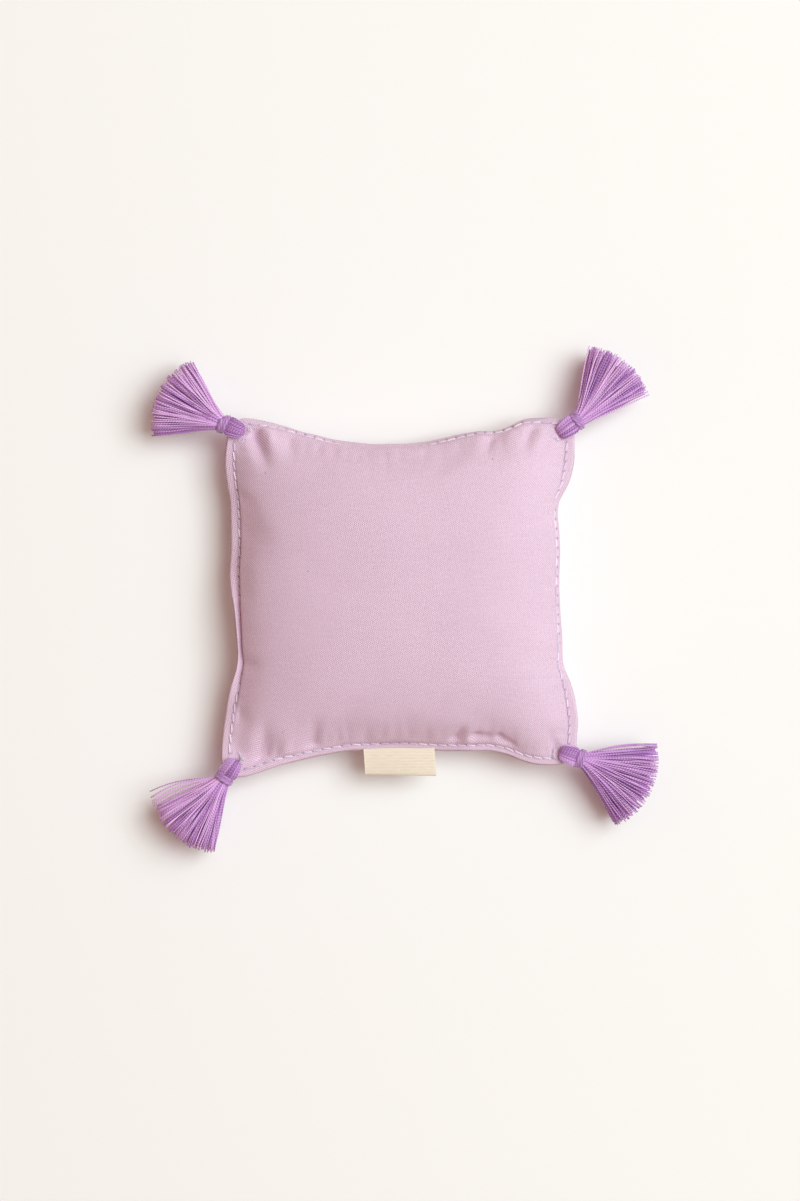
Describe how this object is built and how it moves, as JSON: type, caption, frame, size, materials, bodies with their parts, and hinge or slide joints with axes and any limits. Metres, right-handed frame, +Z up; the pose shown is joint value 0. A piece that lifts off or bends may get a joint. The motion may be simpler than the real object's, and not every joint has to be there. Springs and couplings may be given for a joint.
{
  "type": "lavender sachet",
  "caption": "Square stuffed cotton sachet with a topstitched flange, a thread tassel looped through each corner and a blank folded tape label in one seam.",
  "frame": {"origin": "middle of the flat patch of the back panel, where it lies on the table", "axes": "+X to the right of the face, +Y to its top edge, away from the label, +Z up out of the face"},
  "size_m": [0.1418, 0.1384, 0.0283],
  "materials": {
    "cotton": "matte fine twill",
    "wadding": "matte lofty fibre",
    "flowers": "matte dried buds",
    "stitch_thread": "matte spun thread",
    "tape": "matte ribbed tape",
    "floss": "soft sheen thread",
    "binding": "soft sheen thread"
  },
  "bodies": {
    "sachet": {"face_panel": "cotton", "back_panel": "cotton", "face_wadding": "wadding", "back_wadding": "wadding", "lavender_flowers": "flowers", "needle_thread": "stitch_thread", "bobbin_thread": "stitch_thread", "label_tail": "tape"},
    "label": {"label_leaf": "tape"},
    "tassel_top_left": {"tassel_top_left_head": "floss", "tassel_top_left_binding": "binding"},
    "tassel_top_left_strands": {"tassel_top_left_skirt": "floss"},
    "tassel_top_right": {"tassel_top_right_head": "floss", "tassel_top_right_binding": "binding"},
    "tassel_top_right_strands": {"tassel_top_right_skirt": "floss"},
    "tassel_bottom_left": {"tassel_bottom_left_head": "floss", "tassel_bottom_left_binding": "binding"},
    "tassel_bottom_left_strands": {"tassel_bottom_left_skirt": "floss"},
    "tassel_bottom_right": {"tassel_bottom_right_head": "floss", "tassel_bottom_right_binding": "binding"},
    "tassel_bottom_right_strands": {"tassel_bottom_right_skirt": "floss"}
  },
  "joints": [
    {"name": "label_flap", "type": "hinge", "parent": "sachet", "child": "label", "pos_m": [-0.0003, -0.04464, 0.012], "axis": [-1, 0, 0], "range_deg": [-90, 90]},
    {"name": "top_left_swing", "type": "hinge", "parent": "sachet", "child": "tassel_top_left", "pos_m": [-0.04505, 0.04619, 0.012], "axis": [0, 0, 1], "range_deg": [-67, 23]},
    {"name": "top_left_droop", "type": "hinge", "parent": "tassel_top_left", "child": "tassel_top_left_strands", "pos_m": [-0.05412, 0.05004, 0.012], "axis": [0.3907, 0.9205, 0], "range_deg": [-63, 87]},
    {"name": "top_right_swing", "type": "hinge", "parent": "sachet", "child": "tassel_top_right", "pos_m": [0.04558, 0.04597, 0.012], "axis": [0, 0, 1], "range_deg": [-36, 54]},
    {"name": "top_right_droop", "type": "hinge", "parent": "tassel_top_right", "child": "tassel_top_right_strands", "pos_m": [0.05353, 0.05174, 0.012], "axis": [0.5878, -0.809, 0], "range_deg": [-63, 87]},
    {"name": "bottom_left_swing", "type": "hinge", "parent": "sachet", "child": "tassel_bottom_left", "pos_m": [-0.04664, -0.04753, 0.012], "axis": [0, 0, 1], "range_deg": [-55, 35]},
    {"name": "bottom_left_droop", "type": "hinge", "parent": "tassel_bottom_left", "child": "tassel_bottom_left_strands", "pos_m": [-0.05242, -0.05578, 0.012], "axis": [-0.8192, 0.5736, 0], "range_deg": [-63, 87]},
    {"name": "bottom_right_swing", "type": "hinge", "parent": "sachet", "child": "tassel_bottom_right", "pos_m": [0.04607, -0.04447, 0.012], "axis": [0, 0, 1], "range_deg": [-71, 19]},
    {"name": "bottom_right_droop", "type": "hinge", "parent": "tassel_bottom_right", "child": "tassel_bottom_right_strands", "pos_m": [0.05539, -0.04768, 0.012], "axis": [-0.3256, -0.9455, 0], "range_deg": [-63, 87]}
  ]
}
